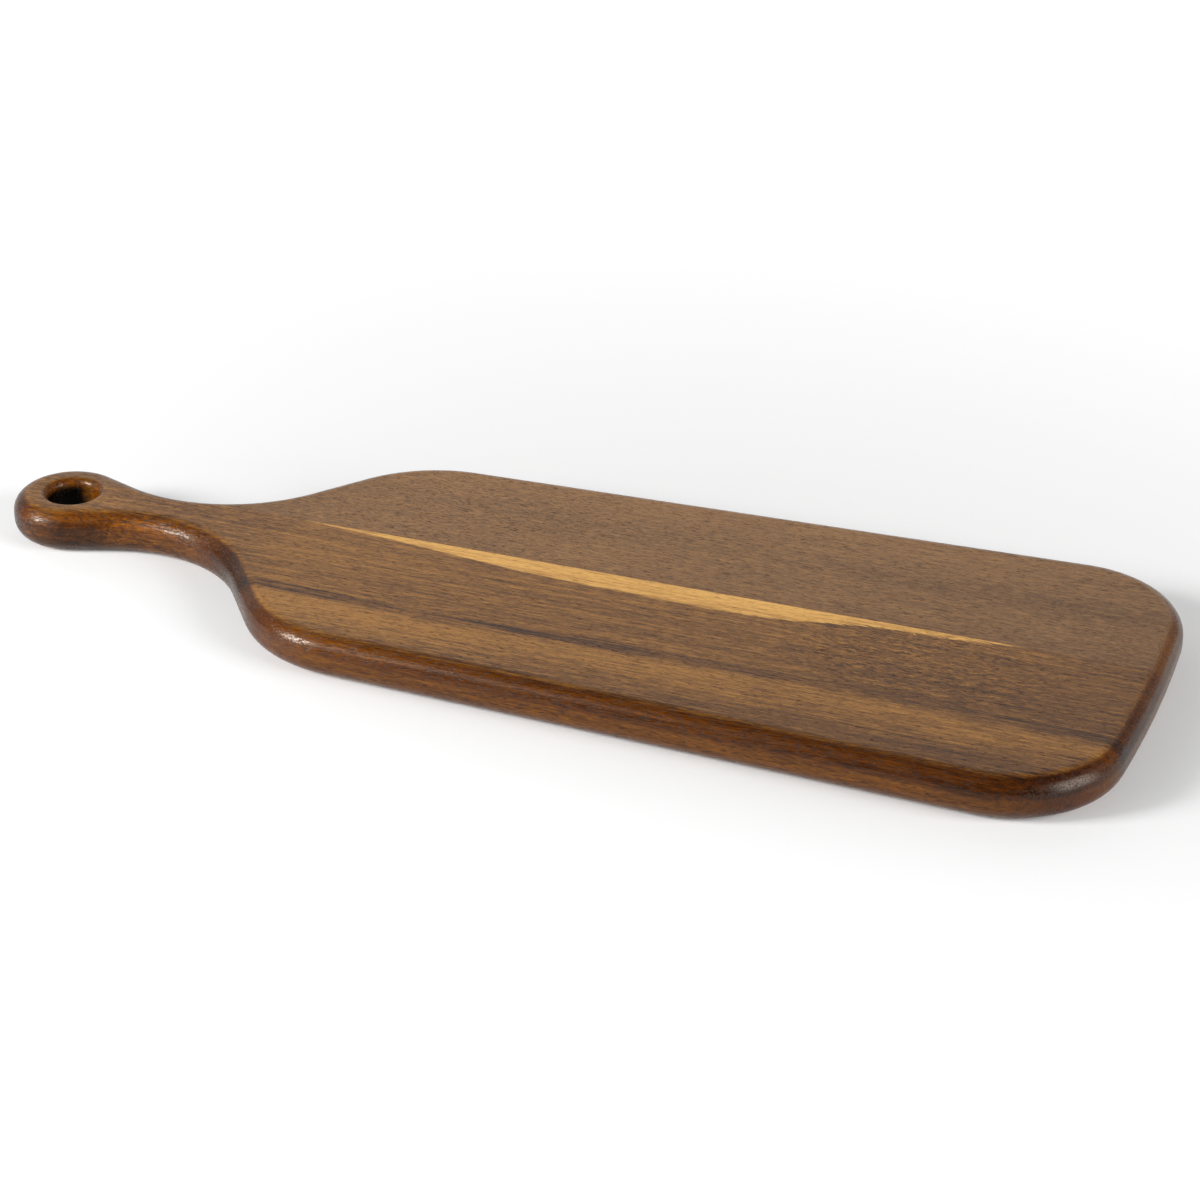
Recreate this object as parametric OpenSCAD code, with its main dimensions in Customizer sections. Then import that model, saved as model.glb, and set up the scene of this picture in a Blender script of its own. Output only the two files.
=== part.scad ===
// Paddle charcuterie board: two wood staves glued edge to edge along one straight
// line, then cut to a paddle outline, rounded over all round and bored for hanging.
// The board lies flat on Z = 0 with its handle towards -X.

/* [Board] */
// Overall length, from the tip of the handle to the end of the blade
board_l = 508; // [440:1:600]
// Width across the blade at its widest, near the far corners
blade_w = 190; // [170:1:240]
// Thickness of the board
thickness = 19; // [14:0.5:28]
// Height of the plain band left between the upper and lower rounded edges
edge_flat = 3; // [1:0.5:6]

/* [Blade] */
// Lean of each long side towards the handle, in degrees
side_taper = 2.2; // [0:0.1:4]
// Radius of the two corners at the far end
corner_r = 48; // [30:1:65]
// Radius of the slightly bowed far end
crown_r = 800; // [500:10:2000]
// Radius of the round shoulders
shoulder_r = 60; // [40:1:75]
// Slope of the straight shoulder lines against the length, in degrees
shoulder_angle = 53; // [48:1:60]

/* [Handle] */
// Radius of the round handle end
knob_r = 25; // [22:0.5:30]
// Lean of the handle's flanks behind the round end, in degrees
flank_angle = 20; // [14:1:22]
// Straight length of each flank
flank_l = 17; // [10:0.5:22]
// Radius of the hollow neck curves between the handle and the shoulders
neck_r = 63; // [50:1:75]

/* [Hanging hole] */
// Bore of the hanging hole
hole_d = 22; // [16:0.5:26]
// Distance from the handle's tip to the centre of the hole
hole_from_tip = 26; // [24:0.5:30]
// Radius of the rounded rims of the hole
hole_round = 3.5; // [1:0.25:4]

/* [Staves] */
// Distance from the centreline to the glue line, towards the rear
glue_offset = 10.5; // [0:0.5:40]
// Thickness of the cured glue film
glue_t = 0.15; // [0.1:0.05:0.3]

/* [Hidden] */
$fn = 96;

// Radius of the rounded edges, and how finely arcs and edges are stepped
edge_r = (thickness - edge_flat) / 2;
arc_step = 6;
edge_steps = 7;
crown_steps = 4;
overrun = 1;

// Unit vector along a heading, and the outward normal on its left
function along(h) = [cos(h), sin(h)];
function outward(h) = [-sin(h), cos(h)];
function cross2(a, b) = a.x * b.y - a.y * b.x;

// Rear half of the outline, from the tip to the far end, as tangent arcs and lines
tip_x = -board_l / 2;
hole_x = tip_x + hole_from_tip;
knob_c = [tip_x + knob_r, 0];
flank_start = knob_c + knob_r * outward(-flank_angle);
flank_end = flank_start + flank_l * along(-flank_angle);
neck_c = flank_end + neck_r * outward(-flank_angle);
neck_end = neck_c - neck_r * outward(shoulder_angle);
crown_c = [board_l / 2 - crown_r, 0];
corner_y = blade_w / 2 - corner_r;
corner_c = [crown_c.x + sqrt(pow(crown_r - corner_r, 2) - pow(corner_y, 2)), corner_y];
crown_angle = asin(corner_y / (crown_r - corner_r));
side_end = corner_c + corner_r * outward(side_taper);

// The shoulder arc touches the shoulder line and the side, which gives the line's length
shoulder_gap = side_end - neck_end + shoulder_r * (outward(shoulder_angle) - outward(side_taper));
shoulder_turn = cross2(along(shoulder_angle), along(side_taper));
shoulder_line_l = cross2(shoulder_gap, along(side_taper)) / shoulder_turn;
shoulder_c = neck_end + shoulder_line_l * along(shoulder_angle) - shoulder_r * outward(shoulder_angle);

// Points along an arc, from one polar angle to another
function arc_points(centre, radius, from, to) =
    let (steps = ceil(abs(to - from) / arc_step))
    [for (i = [0:steps]) centre + radius * along(from + (to - from) * i / steps)];

// Rear half of the outline drawn in by an inset, from the far end to the tip
function rear_outline(inset) = concat(
    [for (i = [0:crown_steps - 1]) crown_c + (crown_r - inset) * along(crown_angle * i / crown_steps)],
    arc_points(corner_c, corner_r - inset, crown_angle, 90 + side_taper),
    arc_points(shoulder_c, shoulder_r - inset, 90 + side_taper, 90 + shoulder_angle),
    arc_points(neck_c, neck_r + inset, shoulder_angle - 90, -90 - flank_angle),
    arc_points(knob_c, knob_r - inset, 90 - flank_angle, 180)
);

// The whole outline, anticlockwise: the front half mirrors the rear one
function outline(inset) =
    let (rear = rear_outline(inset))
    concat(rear, [for (i = [len(rear) - 2:-1:1]) [rear[i].x, -rear[i].y]]);

// Inset and height of each level of the rounded edge, from the underside up
function edge_inset(i) = edge_r * (1 - sin(90 * i / edge_steps));
function edge_rise(i) = edge_r * (1 - cos(90 * i / edge_steps));
levels = concat(
    [for (i = [0:edge_steps]) [edge_inset(i), edge_rise(i)]],
    [for (i = [edge_steps:-1:0]) [edge_inset(i), thickness - edge_rise(i)]]
);

// Triangles that close a ring, running straight across the board from side to side
function cap(count) = concat(
    [for (i = [0:count / 2 - 2]) [i, i + 1, count - i - 1]],
    [for (i = [1:count / 2 - 1]) [i, count - i - 1, count - i]]
);

// The paddle with its rounded edge, lofted through the outline at every level
module paddle() {
    rings = [for (level = levels) [for (p = outline(level[0])) [p.x, p.y, level[1]]]];
    count = len(rings[0]);
    top = len(rings) - 1;
    polyhedron(
        points = [for (ring = rings) each ring],
        faces = concat(
            cap(count),
            [for (f = cap(count)) [for (i = [2, 1, 0]) top * count + f[i]]],
            [for (k = [0:top - 1], i = [0:count - 1])
                let (j = (i + 1) % count)
                [k * count + i, (k + 1) * count + i, (k + 1) * count + j, k * count + j]]
        )
    );
}

// Bore with the round-over of both rims
module hanging_hole() {
    bore_r = hole_d / 2;
    translate([hole_x, 0, 0]) {
        translate([0, 0, -overrun])
            cylinder(h = thickness + 2 * overrun, r = bore_r);
        for (top = [0, 1])
            translate([0, 0, top * thickness])
                mirror([0, 0, 1 - top])
                    rotate_extrude()
                        difference() {
                            translate([0, -hole_round]) square([bore_r + hole_round, hole_round + overrun]);
                            translate([bore_r + hole_round, -hole_round]) circle(hole_round);
                        }
    }
}

// The whole board before it is divided at the glue line
module blank() {
    difference() {
        paddle();
        hanging_hole();
    }
}

// What of the blank lies between two distances from the centreline
module band(from, to) {
    intersection() {
        blank();
        translate([tip_x - overrun, from, -overrun])
            cube([board_l + 2 * overrun, to - from, thickness + 2 * overrun]);
    }
}

module rear_stave() {
    color("#7a5640") band(glue_offset + glue_t / 2, blade_w / 2 + overrun);
}

module front_stave() {
    color("#86603f") band(-blade_w / 2 - overrun, glue_offset - glue_t / 2);
}

module glue_line() {
    color("#3a2a1c") band(glue_offset - glue_t / 2, glue_offset + glue_t / 2);
}

rear_stave();
front_stave();
glue_line();
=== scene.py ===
from math import asin, cos, degrees, radians, sin, sqrt

import bmesh
import bpy
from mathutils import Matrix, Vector


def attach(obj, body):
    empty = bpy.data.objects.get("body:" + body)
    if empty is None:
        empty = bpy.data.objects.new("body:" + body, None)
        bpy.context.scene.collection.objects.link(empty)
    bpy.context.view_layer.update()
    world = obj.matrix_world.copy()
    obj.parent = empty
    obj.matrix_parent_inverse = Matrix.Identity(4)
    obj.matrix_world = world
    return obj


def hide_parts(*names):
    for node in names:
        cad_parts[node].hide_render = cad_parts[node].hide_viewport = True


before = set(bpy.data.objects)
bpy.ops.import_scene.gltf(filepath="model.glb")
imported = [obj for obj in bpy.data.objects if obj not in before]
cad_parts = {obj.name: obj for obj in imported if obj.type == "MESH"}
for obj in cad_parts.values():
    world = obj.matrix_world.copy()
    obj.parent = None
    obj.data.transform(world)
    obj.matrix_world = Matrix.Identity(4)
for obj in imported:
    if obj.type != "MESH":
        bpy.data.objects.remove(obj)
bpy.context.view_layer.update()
scene = bpy.context.scene
print("frame loaded:", ", ".join(sorted(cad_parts)))


# camera and studio
view = {
    "place": (0.46805, -1.18753, 0.69692),
    "tilt": 61.651,  # degrees up from straight down
    "turn": 20.739,  # degrees round the board
    "lens": 104.14,
    "sensor": 36.0,
    "farthest": 50,
}
studio = {
    "floorRadius": 7.0,
    "floorSides": 96,
    "floorColour": (0.93, 0.93, 0.93, 1.0),
    "floorRoughness": 0.9,
    "floorDrop": 0.0002,
    "floorGlow": (0.06, 0.60),  # white that the camera sees added near the board and far from it
    "glowFrom": (0.12, 0.7),  # metres from the board's middle between which it grows
    "glowStretch": (0.45, 1, 1),  # counts less along the board
    "lamps": {
        "leftSoftbox": {
            "towards": (-0.72, -0.55, 0.42),
            "distance": 1.5,
            "size": (0.42, 0.50),
            "watts": 23.8,
        },
        "frontSoftbox": {
            "towards": (-0.50, -0.68, 0.50),
            "distance": 1.5,
            "size": (0.62, 0.55),
            "watts": 3.2,
        },
        "rightSoftbox": {
            "towards": (0.95, -0.15, 0.23),
            "distance": 2.0,
            "size": (1.2, 1.8),
            "watts": 50.0,
        },
    },
    "room": 0.10,  # light of the room all round
    "backdrop": 0.74,  # light that the low backdrop behind the board adds
    "backdropRear": (0.0, 0.6),  # fades in towards the rear
    "backdropTop": (0.38, 0.97),  # fades out towards the ceiling
    "backdropRight": (0.0, 0.45),  # and towards the right, to the next share
    "backdropLeast": 0.06,
}


def addNode(tree, kind, settings=None, inputs=None):
    made = tree.nodes.new(kind)
    for name, value in (settings or {}).items():
        setattr(made, name, value)
    for name, value in (inputs or {}).items():
        if isinstance(value, bpy.types.NodeSocket):
            tree.links.new(value, made.inputs[name])
        else:
            made.inputs[name].default_value = value
    return made


def calculate(tree, operation, a, b=0.0, clamp=False):
    settings = {"operation": operation, "use_clamp": clamp}
    return addNode(tree, "ShaderNodeMath", settings, {0: a, 1: b}).outputs["Value"]


def product(tree, first, *others):
    for other in others:
        first = calculate(tree, "MULTIPLY", first, other)
    return first


def addScaled(tree, base, value, strength):
    settings = {"operation": "MULTIPLY_ADD"}
    made = addNode(tree, "ShaderNodeMath", settings, {0: value, 1: strength, 2: base})
    return made.outputs["Value"]


def remap(tree, value, fromMin, fromMax, toMin, toMax, smooth=False):
    settings = {"interpolation_type": "SMOOTHSTEP" if smooth else "LINEAR"}
    ends = {"From Min": fromMin, "From Max": fromMax, "To Min": toMin, "To Max": toMax}
    made = addNode(tree, "ShaderNodeMapRange", settings, {"Value": value, **ends})
    return made.outputs["Result"]


def fade(tree, value, ends, low=0, high=1):
    # softly from low at the first of two ends to high at the second
    return remap(tree, value, *ends, low, high, smooth=True)


def profile(tree, value, points, low, high):
    # a curve through listed points: place in metres, height as it is
    start, end = points[0][0], points[-1][0]
    made = addNode(
        tree, "ShaderNodeFloatCurve", inputs={"Value": remap(tree, value, start, end, 0, 1)}
    )
    curve = made.mapping.curves[0]
    while len(curve.points) < len(points):
        curve.points.new(0.5, 0.5)
    for spot, (place, height) in zip(curve.points, points):
        spot.location = ((place - start) / (end - start), (height - low) / (high - low))
    made.mapping.update()
    return remap(tree, made.outputs["Value"], 0, 1, low, high)


def colourRamp(tree, value, stops):
    made = addNode(tree, "ShaderNodeValToRGB", inputs={"Fac": value})
    elements = made.color_ramp.elements
    while len(elements) < len(stops):
        elements.new(0.5)
    for element, (spot, colour) in zip(elements, stops):
        element.position = spot
        element.color = colour
    return made.outputs["Color"]


def grain(tree, vector, scale, detail=2.0, roughness=0.5, shift=(0, 0, 0), output="Fac"):
    placing = {"Vector": vector, "Scale": scale, "Location": shift}
    placed = addNode(tree, "ShaderNodeMapping", inputs=placing).outputs["Vector"]
    inputs = {"Vector": placed, "Scale": 1.0, "Detail": detail, "Roughness": roughness}
    return addNode(tree, "ShaderNodeTexNoise", inputs=inputs).outputs[output]


def vectorMath(tree, operation, a, b=None, scale=None):
    inputs = {0: a}
    if b is not None:
        inputs[1] = b
    if scale is not None:
        inputs["Scale"] = scale
    made = addNode(tree, "ShaderNodeVectorMath", {"operation": operation}, inputs)
    return made.outputs["Value" if operation in ("LENGTH", "DOT_PRODUCT") else "Vector"]


def splitUp(tree, vector):
    split = addNode(tree, "ShaderNodeSeparateXYZ", inputs={"Vector": vector}).outputs
    return split["X"], split["Y"], split["Z"]


def mixColour(tree, factor, first, second, blend="MIX"):
    settings = {"data_type": "RGBA", "blend_type": blend}
    made = addNode(tree, "ShaderNodeMix", settings, {"Factor": factor, 6: first, 7: second})
    return made.outputs[2]  # the mixed colour, and 6 and 7 are the two that go in


def wander(tree, vector, scale, amount, shift):
    # moves a place by soft noise, by up to about half of amount in metres
    noise = grain(tree, vector, scale, shift=shift, output="Color")
    centred = vectorMath(tree, "SUBTRACT", noise, (0.5, 0.5, 0.5))
    if isinstance(amount, tuple):
        return vectorMath(tree, "MULTIPLY", centred, amount)
    return vectorMath(tree, "SCALE", centred, scale=amount)


def newMaterial(name):
    material = bpy.data.materials.new(name)
    material.use_nodes = True
    tree = material.node_tree
    return material, tree, tree.nodes["Principled BSDF"]


def addCamera():
    data = bpy.data.cameras.new("photoCamera")
    data.lens = view["lens"]
    data.sensor_width = view["sensor"]
    data.clip_end = view["farthest"]
    camera = bpy.data.objects.new("photoCamera", data)
    camera.location = view["place"]
    camera.rotation_euler = (radians(view["tilt"]), 0, radians(view["turn"]))
    scene.collection.objects.link(camera)
    scene.camera = camera


def addLamp(name, lamp):
    data = bpy.data.lights.new(name, "AREA")
    data.shape = "RECTANGLE"
    data.size, data.size_y = lamp["size"]
    data.energy = lamp["watts"]
    towards = Vector(lamp["towards"]).normalized()
    light = bpy.data.objects.new(name, data)
    light.location = towards * lamp["distance"]
    light.rotation_euler = towards.to_track_quat("Z", "Y").to_euler()
    scene.collection.objects.link(light)


def addWorld():
    world = bpy.data.worlds.new("softRoom")
    world.use_nodes = True
    tree = world.node_tree
    background = tree.nodes["Background"]
    x, y, z = splitUp(tree, addNode(tree, "ShaderNodeTexCoord").outputs["Generated"])
    rear = fade(tree, y, studio["backdropRear"], 0, studio["backdrop"])
    low = fade(tree, z, studio["backdropTop"], 1, 0)
    left = fade(tree, x, studio["backdropRight"], 1, studio["backdropLeast"])
    strength = addScaled(tree, studio["room"], rear, product(tree, low, left))
    tree.links.new(strength, background.inputs["Strength"])
    background.inputs["Color"].default_value = (1, 1, 1, 1)
    scene.world = world


def addFloor():
    bm = bmesh.new()
    bmesh.ops.create_circle(
        bm, cap_ends=True, segments=studio["floorSides"], radius=studio["floorRadius"]
    )
    bmesh.ops.translate(bm, verts=bm.verts, vec=(0, 0, -studio["floorDrop"]))
    mesh = bpy.data.meshes.new("paleFloor")
    bm.to_mesh(mesh)
    bm.free()
    floor = bpy.data.objects.new("paleFloor", mesh)
    scene.collection.objects.link(floor)
    paint, tree, shader = newMaterial("palePaint")
    shader.inputs["Base Color"].default_value = studio["floorColour"]
    shader.inputs["Roughness"].default_value = studio["floorRoughness"]
    shader.inputs["Specular IOR Level"].default_value = 0.0
    # the backdrop's white: seen by the camera and in gloss, never lighting the board
    ray = addNode(tree, "ShaderNodeLightPath").outputs
    seen = calculate(tree, "ADD", ray["Is Camera Ray"], ray["Is Glossy Ray"])
    seen = calculate(tree, "ADD", seen, ray["Is Transmission Ray"], clamp=True)
    place = addNode(tree, "ShaderNodeTexCoord").outputs["Object"]
    place = vectorMath(tree, "MULTIPLY", place, studio["glowStretch"])
    far = vectorMath(tree, "LENGTH", place)
    glow = product(tree, seen, remap(tree, far, *studio["glowFrom"], *studio["floorGlow"]))
    shader.inputs["Emission Color"].default_value = (1, 1, 1, 1)
    tree.links.new(glow, shader.inputs["Emission Strength"])
    mesh.materials.append(paint)


scene.view_settings.view_transform = "Standard"
addCamera()
for name, lamp in studio["lamps"].items():
    addLamp(name, lamp)
addWorld()
addFloor()
print("camera, lamps, room and floor placed")


# the paddle's shape, in metres and degrees
paddle = {
    "length": 0.508,
    "width": 0.190,
    "thickness": 0.019,
    "edgeRadius": 0.008,
    "sideTaper": 2.2,
    "cornerRadius": 0.048,
    "crownRadius": 0.8,
    "shoulderRadius": 0.060,
    "shoulderAngle": 53.0,
    "knobRadius": 0.025,
    "flankAngle": 20.0,
    "flankLength": 0.017,
    "neckRadius": 0.063,
    "holeDiameter": 0.022,
    "holeFromTip": 0.026,
    "holeRound": 0.0035,
    "glueOffset": 0.0105,
    "glueThickness": 0.00015,
    "arcStep": 2.5,  # degrees between points on the arcs
    "fewestSteps": 3,
    "edgeSegments": 16,
    "holeSegments": 8,
    "sharpAngle": 30,
    "near": 1e-6,  # distances that count as none: between points, round the bore, at a cut
    "nearRound": 1e-5,
    "nearCut": 1e-7,
}


def along(angle):
    return Vector((cos(radians(angle)), sin(radians(angle)), 0))


def leftOf(angle):
    return Vector((-sin(radians(angle)), cos(radians(angle)), 0))


def onlyPoints(parts):
    return [part for part in parts if isinstance(part, bmesh.types.BMVert)]


def wholeOf(bm):
    return bm.verts[:] + bm.edges[:] + bm.faces[:]


def spinPoint(bm, point, centre, angle):
    steps = max(paddle["fewestSteps"], round(abs(angle) / paddle["arcStep"]))
    made = bmesh.ops.spin(
        bm, geom=[point], cent=centre, axis=(0, 0, 1), angle=radians(angle), steps=steps
    )
    return onlyPoints(made["geom_last"])[0]


def drawLine(bm, point, offset):
    end = bmesh.ops.extrude_vert_indiv(bm, verts=[point])["verts"][0]
    end.co += offset
    return end


def drawRearHalf(bm):
    p = paddle
    flank, flankLeft = along(-p["flankAngle"]), leftOf(-p["flankAngle"])
    shoulder, shoulderLeft = along(p["shoulderAngle"]), leftOf(p["shoulderAngle"])
    side, sideLeft = along(p["sideTaper"]), leftOf(p["sideTaper"])
    knobCentre = Vector((p["knobRadius"] - p["length"] / 2, 0, 0))
    flankStart = knobCentre + p["knobRadius"] * flankLeft
    flankEnd = flankStart + p["flankLength"] * flank
    neckCentre = flankEnd + p["neckRadius"] * flankLeft
    neckEnd = neckCentre - p["neckRadius"] * shoulderLeft
    crownCentre = Vector((p["length"] / 2 - p["crownRadius"], 0, 0))
    cornerY = p["width"] / 2 - p["cornerRadius"]
    reach = p["crownRadius"] - p["cornerRadius"]
    cornerCentre = Vector((crownCentre.x + sqrt(reach**2 - cornerY**2), cornerY, 0))
    crownAngle = degrees(asin(cornerY / reach))
    sideEnd = cornerCentre + p["cornerRadius"] * sideLeft
    # the shoulder arc touches the shoulder line and the side
    gap = sideEnd - neckEnd + p["shoulderRadius"] * (shoulderLeft - sideLeft)
    turn = shoulder.cross(side).z
    lineLength = gap.cross(side).z / turn
    sideLength = shoulder.cross(gap).z / turn
    shoulderCentre = neckEnd + lineLength * shoulder - p["shoulderRadius"] * shoulderLeft
    holeCentre = Vector((p["holeFromTip"] - p["length"] / 2, 0, 0))
    holeRadius = p["holeDiameter"] / 2

    point = bm.verts.new((p["length"] / 2, 0, 0))
    point = spinPoint(bm, point, crownCentre, crownAngle)
    point = spinPoint(bm, point, cornerCentre, 90 + p["sideTaper"] - crownAngle)
    point = drawLine(bm, point, -sideLength * side)
    point = spinPoint(bm, point, shoulderCentre, p["shoulderAngle"] - p["sideTaper"])
    point = drawLine(bm, point, -lineLength * shoulder)
    point = spinPoint(bm, point, neckCentre, -p["shoulderAngle"] - p["flankAngle"])
    point = drawLine(bm, point, -p["flankLength"] * flank)
    point = spinPoint(bm, point, knobCentre, 90 + p["flankAngle"])
    point = drawLine(bm, point, Vector((p["holeFromTip"] - holeRadius, 0, 0)))
    point = spinPoint(bm, point, holeCentre, -180)
    drawLine(bm, point, Vector((p["length"] - p["holeFromTip"] - holeRadius, 0, 0)))
    bmesh.ops.remove_doubles(bm, verts=bm.verts, dist=p["near"])
    bmesh.ops.contextual_create(bm, geom=bm.edges[:])
    return holeCentre, holeRadius


def roundOver(bm, edges, radius, segments):
    bmesh.ops.bevel(
        bm,
        geom=[e for e in edges if e.is_valid],
        offset=radius,
        offset_type="OFFSET",
        segments=segments,
        profile=0.5,
        affect="EDGES",
        material=-1,
        clamp_overlap=False,
    )


def shapePaddle():
    bm = bmesh.new()
    holeCentre, holeRadius = drawRearHalf(bm)
    thick, near = paddle["thickness"], paddle["near"]
    raised = bmesh.ops.extrude_face_region(bm, geom=bm.faces[:], use_keep_orig=True)["geom"]
    bmesh.ops.translate(bm, verts=onlyPoints(raised), vec=(0, 0, thick))
    middle = [f for f in bm.faces if all(abs(v.co.y) < near for v in f.verts)]
    bmesh.ops.delete(bm, geom=middle, context="FACES")

    def isRim(edge):
        heights = [v.co.z for v in edge.verts]
        onFace = max(heights) < near or min(heights) > thick - near
        return onFace and any(abs(v.co.y) > near for v in edge.verts)

    def isHole(edge):
        away = [(v.co.xy - holeCentre.xy).length - holeRadius for v in edge.verts]
        return all(abs(gap) < paddle["nearRound"] for gap in away)

    rims = [e for e in bm.edges if isRim(e)]
    outerRims = [e for e in rims if not isHole(e)]
    holeRims = [e for e in rims if isHole(e)]
    roundOver(bm, outerRims, paddle["edgeRadius"], paddle["edgeSegments"])
    roundOver(bm, holeRims, paddle["holeRound"], paddle["holeSegments"])
    bmesh.ops.mirror(bm, geom=wholeOf(bm), merge_dist=paddle["nearRound"], axis="Y")
    bmesh.ops.remove_doubles(bm, verts=bm.verts, dist=near)
    bmesh.ops.recalc_face_normals(bm, faces=bm.faces)
    return bm


def cutPiece(name, whole, low=None, high=None):
    bm = whole.copy()
    for place, side in ((low, "clear_inner"), (high, "clear_outer")):
        if place is not None:
            bmesh.ops.bisect_plane(
                bm,
                geom=wholeOf(bm),
                dist=paddle["nearCut"],
                plane_co=(0, place, 0),
                plane_no=(0, 1, 0),
                **{side: True},
            )
            bmesh.ops.holes_fill(bm, edges=[e for e in bm.edges if e.is_boundary], sides=0)
    bmesh.ops.recalc_face_normals(bm, faces=bm.faces)
    for face in bm.faces:
        face.smooth = True
    mesh = bpy.data.meshes.new(name)
    bm.to_mesh(mesh)
    openEdges = sum(e.is_boundary for e in bm.edges)
    bm.free()
    mesh.set_sharp_from_angle(angle=radians(paddle["sharpAngle"]))
    piece = bpy.data.objects.new(name, mesh)
    scene.collection.objects.link(piece)
    shade = piece.modifiers.new("steadyNormals", "WEIGHTED_NORMAL")
    shade.keep_sharp = True
    print(name, len(mesh.polygons), "faces,", openEdges, "open edges")
    return piece


whole = shapePaddle()
glueLow = paddle["glueOffset"] - paddle["glueThickness"] / 2
glueHigh = paddle["glueOffset"] + paddle["glueThickness"] / 2
rearStave = cutPiece("rearStave", whole, low=glueHigh)
frontStave = cutPiece("frontStave", whole, high=glueLow)
glueFilm = cutPiece("glueFilm", whole, low=glueLow, high=glueHigh)
whole.free()
print("paddle shaped and cut into its staves")


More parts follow.
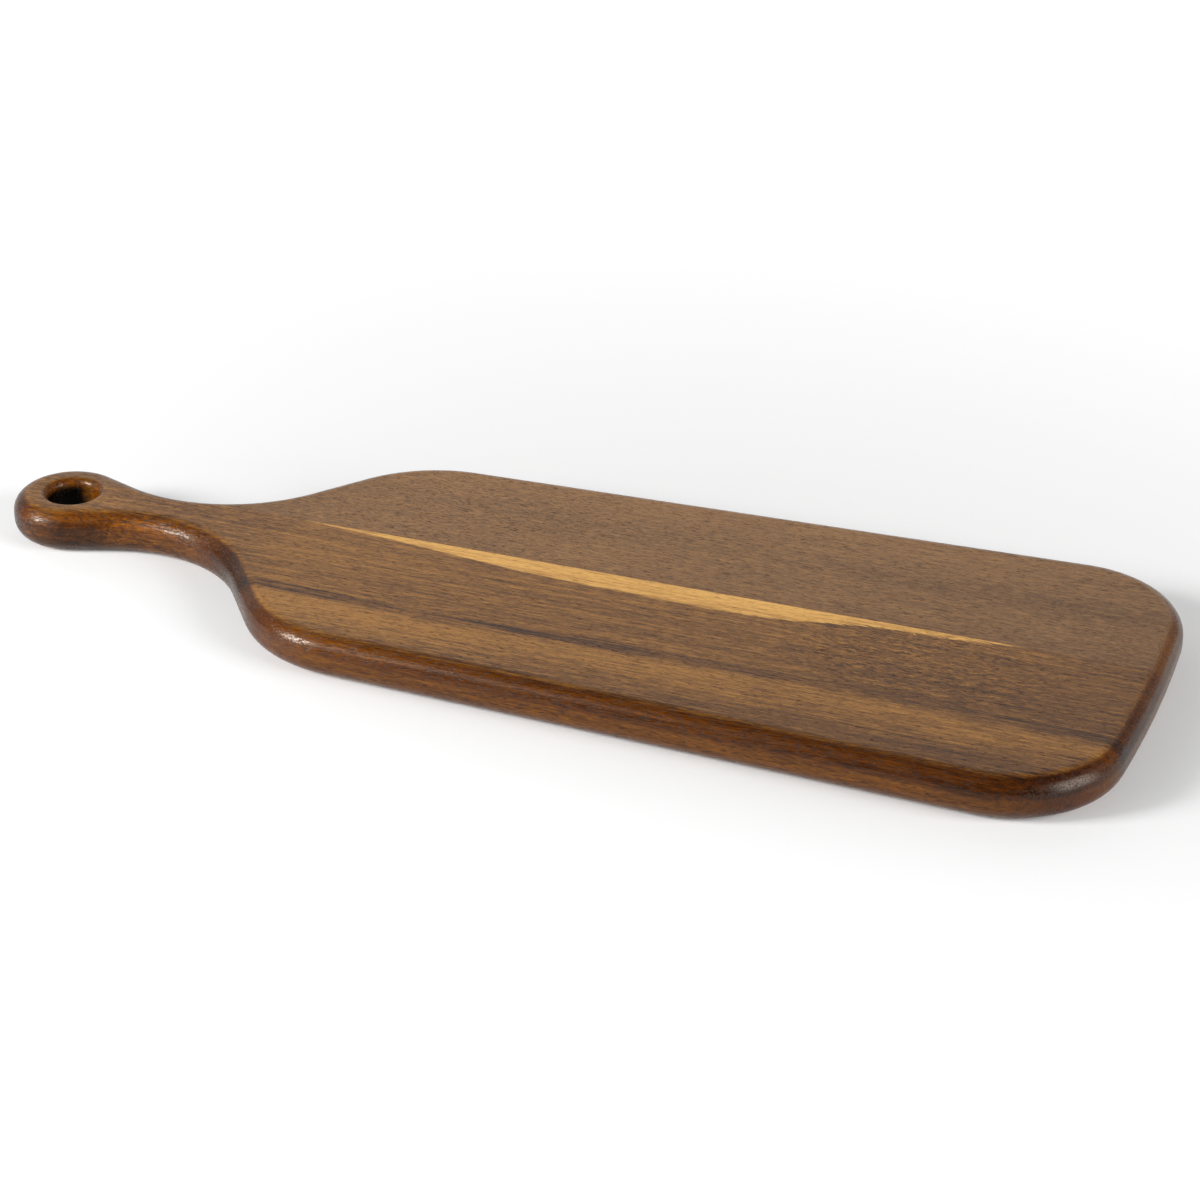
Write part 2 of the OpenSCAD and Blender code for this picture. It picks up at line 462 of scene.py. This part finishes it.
# wood
frontLook = {
    "shift": (3.1, 7.7, 1.3),
    "drift": 0.006,
    "lengthwise": [  # place along the board, tone
        (-0.260, 0.62),
        (-0.215, 0.68),
        (-0.190, 0.62),
        (-0.150, 0.62),
        (-0.125, 0.71),
        (-0.100, 0.80),
        (-0.060, 0.77),
        (-0.030, 0.71),
        (0.000, 0.68),
        (0.060, 0.67),
        (0.120, 0.64),
        (0.180, 0.59),
        (0.230, 0.52),
        (0.260, 0.46),
    ],
    "layers": {  # repeats in each metre along and across the grain, detail, strength
        "broad": ((3.5, 90), 2, 0.3),
        "streak": ((13, 520), 3, 1.15),
        "fine": ((95, 1700), 3, 1.75),
        "fibre": ((380, 3400), 2, 1.0),
    },
    "wild": [  # spots of short, interlocked figure: middle, half length, half width, share
        ((0.155, -0.016), 0.075, 0.040, 1.0),
        ((-0.210, -0.010), 0.110, 0.050, 0.5),
    ],
    "wildTone": 1.9,
    "poreStart": 0.553,
    "bands": [  # place across the board, tone
        (-0.096, -0.12),
        (-0.088, -0.17),
        (-0.082, -0.22),
        (-0.077, -0.15),
        (-0.073, -0.05),
        (-0.069, 0.07),
        (-0.065, 0.12),
        (-0.061, 0.21),
        (-0.056, 0.20),
        (-0.053, 0.13),
        (-0.0515, 0.02),
        (-0.050, -0.06),
        (-0.044, -0.06),
        (-0.036, -0.09),
        (-0.028, -0.09),
        (-0.020, -0.02),
        (-0.013, 0.00),
        (-0.005, 0.02),
        (0.0105, 0.01),
    ],
    "streakPath": [  # middle of the dark mineral streak
        (-0.260, -0.047),
        (-0.130, -0.0475),
        (-0.080, -0.0492),
        (-0.040, -0.0500),
        (0.000, -0.0492),
        (0.040, -0.048),
        (0.070, -0.0478),
        (0.100, -0.0474),
        (0.140, -0.0468),
        (0.180, -0.0477),
        (0.220, -0.0488),
        (0.260, -0.051),
    ],
    "streakDepth": [
        (-0.260, 0.06),
        (-0.130, 0.14),
        (-0.105, 0.30),
        (-0.070, 0.26),
        (-0.040, 0.16),
        (0.000, 0.18),
        (0.020, 0.28),
        (0.055, 0.26),
        (0.078, 0.12),
        (0.100, 0.19),
        (0.130, 0.10),
        (0.165, 0.11),
        (0.200, 0.15),
        (0.260, 0.24),
    ],
    "streakShape": [  # share of that depth, from the front side of the streak to its rear side
        (-0.0045, 0.0),
        (-0.0030, 0.10),
        (-0.0018, 0.6),
        (0.0000, 0.85),
        (0.0015, 0.85),
        (0.0030, 0.55),
        (0.0060, 0.15),
        (0.0120, 0.0),
    ],
    "streakMiddle": -0.048,  # the line that the bands across the board are drawn beside
    "strands": 1.1,  # tone that the thin black strands take away
    "frontLine": {  # darker wood beside the front edge's round-over, most at the shoulder
        "tone": -0.22,
        "square": (0.0384, 1, 0),  # direction square to the leaning side
        "inwards": (-0.0743, -0.0785),
        "lengthwise": (0.06, -0.09),
        "least": 0.1,
    },
    "flame": [  # lower edge of the pale sapwood, which ends at the glue line
        (-0.260, 0.030),
        (-0.150, 0.016),
        (-0.116, 0.0100),
        (-0.090, 0.0076),
        (-0.060, 0.0045),
        (-0.030, 0.0010),
        (0.000, -0.0017),
        (0.040, -0.0032),
        (0.075, -0.0034),
        (0.092, -0.0026),
        (0.105, -0.0010),
        (0.115, 0.0010),
        (0.124, 0.0034),
        (0.135, 0.0052),
        (0.155, 0.0064),
        (0.175, 0.0078),
        (0.188, 0.0093),
        (0.202, 0.0135),
        (0.260, 0.0300),
    ],
    "sap": {
        "light": (0.81, 0.44, 0.107, 1),
        "deep": (0.46, 0.21, 0.038, 1),
        "grain": (0.25, 0.62),  # noise that takes it from deep to light
        "edge": (-0.0006, 0.0008),
        "raggedFrom": (0.095, 0.13),
        "ragged": (0.0025, 0.0075),  # how far the grain tears the edge, before there and past it
        "startFrom": (-0.118, -0.085),
        "start": 0.6,  # share of the pale colour at its handle end
        "fewerPores": 0.4,
    },
    "edgeLayers": [  # height up the rounded edge, tone: the growth layers that it cuts
        (0.0000, 0.05),
        (0.0030, 0.03),
        (0.0070, 0.04),
        (0.0100, 0.06),
        (0.0108, 0.03),
        (0.0114, -0.13),
        (0.0124, -0.18),
        (0.0137, -0.19),
        (0.0150, -0.13),
        (0.0162, -0.07),
        (0.0172, -0.08),
        (0.0179, -0.09),
        (0.0184, -0.16),
        (0.0188, -0.06),
        (0.0190, 0.0),
    ],
    "edgeTrend": [  # height, tone added at the far end of the blade and taken off at the shoulder
        (0.0000, 0.02),
        (0.0107, 0.02),
        (0.0115, -0.04),
        (0.0137, -0.10),
        (0.0150, -0.06),
        (0.0165, -0.07),
        (0.0178, -0.10),
        (0.0185, -0.06),
        (0.0190, 0.0),
    ],
    "handleLayers": [  # the same on the handle
        (0.0000, -0.15),
        (0.0060, -0.14),
        (0.0080, 0.00),
        (0.0110, 0.02),
        (0.0124, 0.03),
        (0.0137, 0.20),
        (0.0150, 0.22),
        (0.0161, 0.12),
        (0.0176, 0.10),
        (0.0183, 0.08),
        (0.0188, 0.02),
        (0.0190, 0.0),
    ],
    "stops": [  # tone, colour of the oiled heartwood
        (0.0, (0.034, 0.011, 0.0028, 1)),
        (0.2, (0.077, 0.026, 0.0045, 1)),
        (0.34, (0.112, 0.041, 0.0075, 1)),
        (0.46, (0.145, 0.056, 0.0105, 1)),
        (0.59, (0.182, 0.076, 0.0145, 1)),
        (0.76, (0.242, 0.102, 0.0185, 1)),
        (0.88, (0.285, 0.123, 0.0215, 1)),
        (1.0, (0.36, 0.160, 0.030, 1)),
    ],
}
rearLook = {
    "shift": (11.3, 2.9, 5.1),
    "drift": 0.008,
    "lengthwise": [
        (-0.260, 0.68),
        (-0.200, 0.60),
        (-0.140, 0.66),
        (-0.100, 0.80),
        (0.000, 0.80),
        (0.080, 0.74),
        (0.140, 0.70),
        (0.200, 0.66),
        (0.260, 0.58),
    ],
    "layers": {
        "broad": ((6, 45), 2, 0.3),
        "streak": ((24, 480), 3, 0.5),
        "fine": ((160, 1800), 3, 1.55),
        "fibre": ((450, 3400), 2, 0.9),
    },
    "wild": [((-0.070, 0.045), 0.12, 0.06, 1.0)],
    "wildTone": 0.6,
    "poreStart": 0.57,
    "bands": [
        (0.0105, -0.08),
        (0.020, -0.03),
        (0.035, 0.01),
        (0.046, -0.06),
        (0.055, -0.03),
        (0.065, 0.04),
        (0.075, 0.10),
        (0.096, 0.10),
    ],
    "edgeLayers": [
        (0.000, 0.02),
        (0.006, 0.05),
        (0.010, -0.08),
        (0.014, -0.14),
        (0.017, -0.05),
        (0.019, 0.0),
    ],
    "handleLayers": [(0.000, -0.10), (0.010, 0.0), (0.015, 0.05), (0.019, 0.0)],
    "stops": [
        (0.0, (0.034, 0.013, 0.005, 1)),
        (0.2, (0.080, 0.032, 0.009, 1)),
        (0.35, (0.122, 0.053, 0.015, 1)),
        (0.46, (0.148, 0.066, 0.020, 1)),
        (0.59, (0.182, 0.084, 0.026, 1)),
        (0.76, (0.236, 0.113, 0.036, 1)),
        (1.0, (0.33, 0.160, 0.050, 1)),
    ],
}
figure = {  # how the grain bends and breaks up, the same in both staves
    "driftScale": (6, 14, 14),
    "curlScale": (70, 150, 150),
    "curlShift": (1.7, 4.2, 9.9),
    "curl": 0.005,  # metres, in the wild spots
    "spotEdge": (0.45, 1.0),
    "layerRoughness": 0.55,
    "bandJitter": 0.0018,
    "calmEdge": 0.4,  # share of the grain taken off on the blade's edges
    # noises: repeats in each metre along and across the grain, detail, roughness, shift
    "short": ((240, 1050), 3, 0.55, (8.2, 5.5, 3.6)),
    "pore": ((300, 2300), 2, 0.6, (2.3, 9.1, 4.4)),
    "fleck": ((150, 1000), 2, 0.55, (5.2, 3.3, 8.8)),
    "strand": ((17, 950), 2, 0.5, (6.6, 1.2, 7.1)),
    # and where each begins to show and is full
    "shortFrom": (0.36, 0.58),
    "shortTone": (-0.14, 0.05),
    "poreFull": 0.65,
    "poreWild": -0.03,  # shifts the start of the pores in the wild spots
    "poreSide": -0.035,  # and on the rounded edges
    "fleckFrom": (0.57, 0.66),
    "fleckDepth": 0.85,
    "fleckLeast": 0.3,  # share of the flecks on the blade's edges
    "strandFrom": (0.53, 0.61),
    "strandDepth": (0.06, 0.28),  # of the streak around it
}
zones = {  # the two ends of each change of look: places in metres, facings as shares
    "side": (0.985, 0.86),  # how squarely the surface faces up or down
    "tipward": (-0.42, -0.80),  # how squarely a side faces the far end, negative for the tip
    "farward": (0.80, 0.99),
    "trend": (-0.08, 0.13),
    "flecks": (-0.10, -0.16),
    "handle": (-0.158, -0.184),
    "roundEnd": (-0.198, -0.208),
    "tip": (-0.244, -0.224),
    "upper": (0.0109, 0.0116),  # heights
    "underside": (0.0166, 0.0144),
    "farLow": (0.0172, 0.0150),
    "boreWall": (0.0140, 0.0118),  # distance from the middle of the hole
    # painted shade in the bore: towards the handle's tip, deep down, and at its foot
    "boreShadeBack": (0.0015, -0.0030),
    "boreShadeDeep": (0.0172, 0.0140),
    "boreShadeFoot": (0.004, 0.0),
}
curveReach = {  # lowest and highest value that each curve of the looks can give
    "lengthwise": (0.3, 0.8),
    "streakPath": (-0.055, -0.040),
    "streakDepth": (0, 0.4),
    "streakShape": (0, 1),
    "flame": (-0.006, 0.032),
    "tone": (-0.35, 0.35),  # all others
}
finish = {
    "roughTop": 0.30,
    "roughEdge": 0.205,
    "roughPore": 0.25,
    "specular": 0.34,
    "specularTint": (1.0, 0.88, 0.74, 1),
    "pores": 0.8,
    "poresEdge": 0.18,  # added on the rounded edges
    "poreDark": (0.26, 0.18, 0.14, 1),
    "edgeTint": (0.74, 0.585, 0.31, 1),  # oil soaks deeper into the rounded edges
    "upperTint": (1.0, 0.89, 0.40, 1),  # less green and blue above their middle
    "endTint": (0.56, 0.42, 0.30, 1),  # and deepest into end grain
    "endGrain": [  # how squarely a side faces along the board, share of end tint
        (0.00, 0.0),
        (0.06, 0.0),
        (0.40, 0.45),
        (0.65, 0.95),
        (0.85, 0.9),
        (1.00, 0.0),
    ],
    "boreEnds": -0.6,  # of that share, inside the bore
    "paintedTipwardShade": (0.46, 0.52, 0.54, 1),  # painted shade on sides that face the handle's tip
    "paintedFarEndShade": (0.58, 0.64, 0.66, 1),  # painted shade on the lower part of the far end
    "paintedUndersideShade": (0.42, 0.36, 0.36, 1),  # painted shade on the lower half of the handle's round end
    "tipShare": 0.35,  # of that tint at the very tip
    "boreShadeColour": (0.006, 0.004, 0.003, 1),  # painted shade inside the bore
    "boreShadeFoot": 0.5,  # share of painted shade at the foot of the bore
    "bumpFibre": 0.5,
    "bumpDepth": 0.00012,
    "bump": 0.5,
}


def spotMask(tree, place, spot):
    (x, y), halfLength, halfWidth, share = spot
    away = vectorMath(tree, "SUBTRACT", place, (x, y, 0))
    away = vectorMath(tree, "MULTIPLY", away, (1 / halfLength, 1 / halfWidth, 0))
    return fade(tree, vectorMath(tree, "LENGTH", away), figure["spotEdge"], share, 0)


def boreShares(tree, place):
    # share inside the bore, and share of it given painted shade: deep, and towards the handle's
    # tip
    centre = (paddle["holeFromTip"] - paddle["length"] / 2, 0, 0)
    away = vectorMath(tree, "SUBTRACT", place, centre)
    x, _, z = splitUp(tree, away)
    radius = vectorMath(tree, "LENGTH", vectorMath(tree, "MULTIPLY", away, (1, 1, 0)))
    inBore = fade(tree, radius, zones["boreWall"])
    paintedBoreShade = product(tree, fade(tree, x, zones["boreShadeBack"]), fade(tree, z, zones["boreShadeDeep"]))
    foot = remap(tree, z, *zones["boreShadeFoot"], 0, finish["boreShadeFoot"])
    return inBore, product(tree, calculate(tree, "MAXIMUM", paintedBoreShade, foot), inBore)


def surfaceShares(tree):
    # where a point of the surface lies, and how it faces
    place = addNode(tree, "ShaderNodeTexCoord").outputs["Object"]
    normal = addNode(tree, "ShaderNodeNewGeometry").outputs["Normal"]
    x, y, z = splitUp(tree, place)
    upward = calculate(tree, "ABSOLUTE", splitUp(tree, normal)[2])
    level = vectorMath(tree, "NORMALIZE", vectorMath(tree, "MULTIPLY", normal, (1, 1, 0)))
    farward = splitUp(tree, level)[0]
    inBore, paintedBoreShade = boreShares(tree, place)
    return {
        "place": place,
        "x": x,
        "y": y,
        "z": z,
        "side": fade(tree, upward, zones["side"]),
        "handle": fade(tree, x, zones["handle"]),
        "endways": calculate(tree, "ABSOLUTE", farward),
        "tipward": fade(tree, farward, zones["tipward"]),
        "farward": fade(tree, farward, zones["farward"]),
        "inBore": inBore,
        "paintedBoreShade": paintedBoreShade,
    }


def lookCurve(tree, look, name, value):
    return profile(tree, value, look[name], *curveReach.get(name, curveReach["tone"]))


def figureNoise(tree, place, name):
    (lengthwise, across), detail, roughness, shift = figure[name]
    return grain(tree, place, (lengthwise, across, across), detail, roughness, shift)


def woodGrains(tree, look, at):
    # the grain drifts sideways along the board, and is interlocked in the wild spots
    sideways = (0, look["drift"], look["drift"])
    drift = wander(tree, at["place"], figure["driftScale"], sideways, look["shift"])
    wild = 0.0
    for spot in look["wild"]:
        wild = calculate(tree, "MAXIMUM", spotMask(tree, at["place"], spot), wild)
    curl = product(tree, wild, figure["curl"])
    curl = wander(tree, at["place"], figure["curlScale"], curl, figure["curlShift"])
    place = vectorMath(tree, "ADD", vectorMath(tree, "ADD", at["place"], drift), curl)
    grains = {"place": place, "wild": wild}
    for layer, ((lengthwise, across), detail, _) in look["layers"].items():
        scale = (lengthwise, across, across)
        made = grain(tree, place, scale, detail, figure["layerRoughness"], look["shift"])
        grains[layer] = made
    return grains


def woodPores(tree, look, at, grains):
    start = addScaled(tree, look["poreStart"], grains["wild"], figure["poreWild"])
    start = addScaled(tree, start, at["side"], figure["poreSide"])
    pores = figureNoise(tree, grains["place"], "pore")
    pores = fade(tree, pores, (start, figure["poreFull"]))
    # longer flecks where the round-over cuts the pores at a slant, most of all on the handle
    flecks = figureNoise(tree, grains["place"], "fleck")
    flecks = fade(tree, flecks, figure["fleckFrom"], 0, figure["fleckDepth"])
    alongside = remap(tree, at["x"], *zones["flecks"], figure["fleckLeast"], 1)
    flecks = product(tree, flecks, at["side"], alongside)
    return calculate(tree, "MAXIMUM", pores, flecks)


def edgeTone(tree, look, at):
    # the growth layers that the rounded edge cuts
    layered = lookCurve(tree, look, "edgeLayers", at["z"])
    onHandle = lookCurve(tree, look, "handleLayers", at["z"])
    if "edgeTrend" in look:
        trend = lookCurve(tree, look, "edgeTrend", at["z"])
        layered = addScaled(tree, layered, trend, remap(tree, at["x"], *zones["trend"], -1, 1))
    return addScaled(tree, layered, calculate(tree, "SUBTRACT", onHandle, layered), at["handle"])


def frontLineShare(tree, line, at):
    inwards = vectorMath(tree, "DOT_PRODUCT", at["place"], line["square"])
    share = fade(tree, inwards, line["inwards"])
    alongside = remap(tree, at["x"], *line["lengthwise"], line["least"], 1)
    return product(tree, share, alongside, calculate(tree, "SUBTRACT", 1.0, at["side"]))


def mineralStreak(tree, look, at, grains, tone, bentY):
    across = calculate(tree, "SUBTRACT", bentY, look["streakMiddle"])
    share = lookCurve(tree, look, "streakShape", across)
    depth = product(tree, share, lookCurve(tree, look, "streakDepth", at["x"]))
    tone = calculate(tree, "SUBTRACT", tone, depth)
    strands = fade(tree, figureNoise(tree, grains["place"], "strand"), figure["strandFrom"])
    strands = product(tree, strands, remap(tree, depth, *figure["strandDepth"], 0, 1))
    return addScaled(tree, tone, strands, -look["strands"])


def woodTone(tree, look, at, grains):
    # along the board, across it, round the edge, and the layers of grain
    tone = lookCurve(tree, look, "lengthwise", at["x"])
    bentY = at["y"]
    if "streakPath" in look:
        path = lookCurve(tree, look, "streakPath", at["x"])
        path = calculate(tree, "SUBTRACT", path, look["streakMiddle"])
        bentY = calculate(tree, "SUBTRACT", bentY, path)
    jitter = remap(tree, grains["streak"], 0, 1, -figure["bandJitter"], figure["bandJitter"])
    bentY = calculate(tree, "ADD", bentY, jitter)
    tone = calculate(tree, "ADD", tone, lookCurve(tree, look, "bands", bentY))
    tone = addScaled(tree, tone, edgeTone(tree, look, at), at["side"])
    if "frontLine" in look:
        line = look["frontLine"]
        tone = addScaled(tree, tone, frontLineShare(tree, line, at), line["tone"])
    onBlade = calculate(tree, "SUBTRACT", 1.0, at["handle"])
    calm = addScaled(tree, 1.0, product(tree, at["side"], onBlade), -figure["calmEdge"])
    for layer, (_, _, strength) in look["layers"].items():
        centred = product(tree, calculate(tree, "SUBTRACT", grains[layer], 0.5), calm)
        tone = addScaled(tree, tone, centred, strength)
    short = figureNoise(tree, grains["place"], "short")
    short = remap(tree, short, *figure["shortFrom"], *figure["shortTone"])
    tone = addScaled(tree, tone, product(tree, short, grains["wild"]), look["wildTone"])
    if "streakPath" in look:
        tone = mineralStreak(tree, look, at, grains, tone, bentY)
    return tone


def addSapwood(tree, look, at, grains, colour):
    # pale sapwood between the glue line and a curved, ragged lower edge
    sap = look["sap"]
    depth = calculate(tree, "SUBTRACT", at["y"], lookCurve(tree, look, "flame", at["x"]))
    ragged = fade(tree, at["x"], sap["raggedFrom"], *sap["ragged"])
    depth = addScaled(tree, depth, calculate(tree, "SUBTRACT", grains["fine"], 0.5), ragged)
    begun = remap(tree, at["x"], *sap["startFrom"], sap["start"], 1)
    share = product(tree, fade(tree, depth, sap["edge"]), begun)
    figured = calculate(tree, "SUBTRACT", grains["streak"], 0.5)
    figured = calculate(tree, "ADD", grains["fine"], figured)
    pale = mixColour(tree, remap(tree, figured, *sap["grain"], 0, 1), sap["deep"], sap["light"])
    return mixColour(tree, share, colour, pale), share


def addOilAndShade(tree, at, colour):
    # oil darkens the rounded edges, end grain most; painted shade darkens the bore, the sides
    # facing the handle's tip, the far end's lower part and the round end's lower half
    x, z, side = at["x"], at["z"], at["side"]
    notBore = calculate(tree, "SUBTRACT", 1.0, at["inBore"])
    ends = product(tree, side, profile(tree, at["endways"], finish["endGrain"], 0, 1))
    ends = addScaled(tree, ends, product(tree, at["inBore"], ends), finish["boreEnds"])
    upper = product(tree, side, remap(tree, z, *zones["upper"], 0, 1))
    farLow = product(tree, side, at["farward"], fade(tree, z, zones["farLow"]), notBore)
    tip = remap(tree, x, *zones["tip"], finish["tipShare"], 1)
    roundEnd = fade(tree, x, zones["roundEnd"])
    underside = product(tree, side, fade(tree, z, zones["underside"]), roundEnd, tip, notBore)
    for share, tint in (
        (side, "edgeTint"),
        (upper, "upperTint"),
        (ends, "endTint"),
        (product(tree, side, at["tipward"], notBore), "paintedTipwardShade"),
        (farLow, "paintedFarEndShade"),
        (underside, "paintedUndersideShade"),
        (at["paintedBoreShade"], "boreShadeColour"),
    ):
        colour = mixColour(tree, share, colour, finish[tint], "MULTIPLY")
    return colour


def woodMaterial(name, look):
    material, tree, shader = newMaterial(name)
    at = surfaceShares(tree)
    grains = woodGrains(tree, look, at)
    pores = woodPores(tree, look, at, grains)
    colour = colourRamp(tree, woodTone(tree, look, at, grains), look["stops"])
    if "flame" in look:
        colour, pale = addSapwood(tree, look, at, grains, colour)
        pores = product(tree, pores, addScaled(tree, 1.0, pale, -look["sap"]["fewerPores"]))
    darkened = addScaled(tree, finish["pores"], at["side"], finish["poresEdge"])
    darkened = product(tree, pores, darkened)
    colour = mixColour(tree, darkened, colour, finish["poreDark"], "MULTIPLY")
    tree.links.new(addOilAndShade(tree, at, colour), shader.inputs["Base Color"])

    rough = remap(tree, at["side"], 0, 1, finish["roughTop"], finish["roughEdge"])
    rough = addScaled(tree, rough, pores, finish["roughPore"])
    tree.links.new(rough, shader.inputs["Roughness"])
    shader.inputs["Specular IOR Level"].default_value = finish["specular"]
    shader.inputs["Specular Tint"].default_value = finish["specularTint"]

    height = product(tree, grains["fibre"], finish["bumpFibre"])
    height = calculate(tree, "SUBTRACT", height, pores)
    relief = {"Height": height, "Strength": finish["bump"], "Distance": finish["bumpDepth"]}
    bump = addNode(tree, "ShaderNodeBump", inputs=relief)
    tree.links.new(bump.outputs["Normal"], shader.inputs["Normal"])
    return material


# cured glue
glueLook = {
    "patches": ((60, 200, 200), 3, 0.6),  # repeats in each metre, detail, roughness
    "stops": [
        (0.3, (0.07, 0.030, 0.009, 1)),
        (0.7, (0.12, 0.053, 0.015, 1)),
    ],
    "rough": 0.42,
}


def glueMaterial(name):
    material, tree, shader = newMaterial(name)
    place = addNode(tree, "ShaderNodeTexCoord").outputs["Object"]
    colour = colourRamp(tree, grain(tree, place, *glueLook["patches"]), glueLook["stops"])
    # the bore's painted shade, on the glue film too
    paintedBoreShade = boreShares(tree, place)[1]
    colour = mixColour(tree, paintedBoreShade, colour, finish["boreShadeColour"], "MULTIPLY")
    tree.links.new(colour, shader.inputs["Base Color"])
    shader.inputs["Roughness"].default_value = glueLook["rough"]
    return material


for piece, node, slot, material in (
    (rearStave, "rear_stave", "rear_stave_wood", woodMaterial("rearStaveWood", rearLook)),
    (frontStave, "front_stave", "front_stave_wood", woodMaterial("frontStaveWood", frontLook)),
    (glueFilm, "glue_line", "cured_glue", glueMaterial("curedGlue")),
):
    piece.data.materials.append(material)
    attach(piece, "root")
    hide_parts(node)
print("wood and glue finished")
